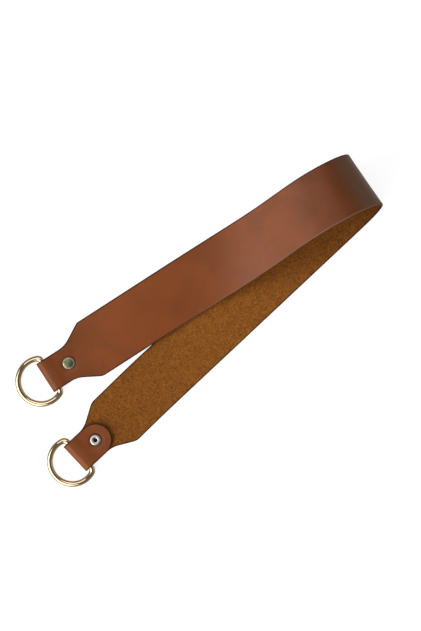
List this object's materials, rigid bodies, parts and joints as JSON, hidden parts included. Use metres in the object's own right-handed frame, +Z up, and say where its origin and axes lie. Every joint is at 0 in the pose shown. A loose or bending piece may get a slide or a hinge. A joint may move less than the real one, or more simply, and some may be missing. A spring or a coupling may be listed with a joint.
{
  "type": "leather bag handle",
  "caption": "Flat leather bag handle lying folded in a long bend, each end narrowed to a tab riveted round a D ring.",
  "frame": {"origin": "bottom centre of the whole handle's box, on the surface it lies on", "axes": "+X from the rings to the bend, +Z up; the leg that lies on the surface is on the -Y side"},
  "size_m": [0.3276, 0.1008, 0.0592],
  "materials": {
    "leather": "smooth tan grain outside, fuzzy suede flesh side, dark burnished edges",
    "ring_gold": "polished pale gold plating",
    "rivet_brass": "antique brass, satin",
    "rivet_nickel": "bright nickel"
  },
  "bodies": {
    "leather_and_rivets": {"strap": "leather", "rivet_cap_lower": "rivet_brass", "rivet_cap_upper": "rivet_brass", "rivet_back_lower": "rivet_nickel", "rivet_back_upper": "rivet_nickel"},
    "ring_lower": {"d_ring_lower": "ring_gold"},
    "ring_upper": {"d_ring_upper": "ring_gold"}
  },
  "joints": [
    {"name": "ring_lower_swing", "type": "hinge", "parent": "leather_and_rivets", "child": "ring_lower", "pos_m": [-0.13698, -0.0303, 0.0049], "axis": [-0.0901, 0.9959, 0], "range_deg": [-160, 169]},
    {"name": "ring_upper_swing", "type": "hinge", "parent": "leather_and_rivets", "child": "ring_upper", "pos_m": [-0.11681, 0.0303, 0.00492], "axis": [0.0903, 0.9959, 0], "range_deg": [-161, 167]}
  ]
}
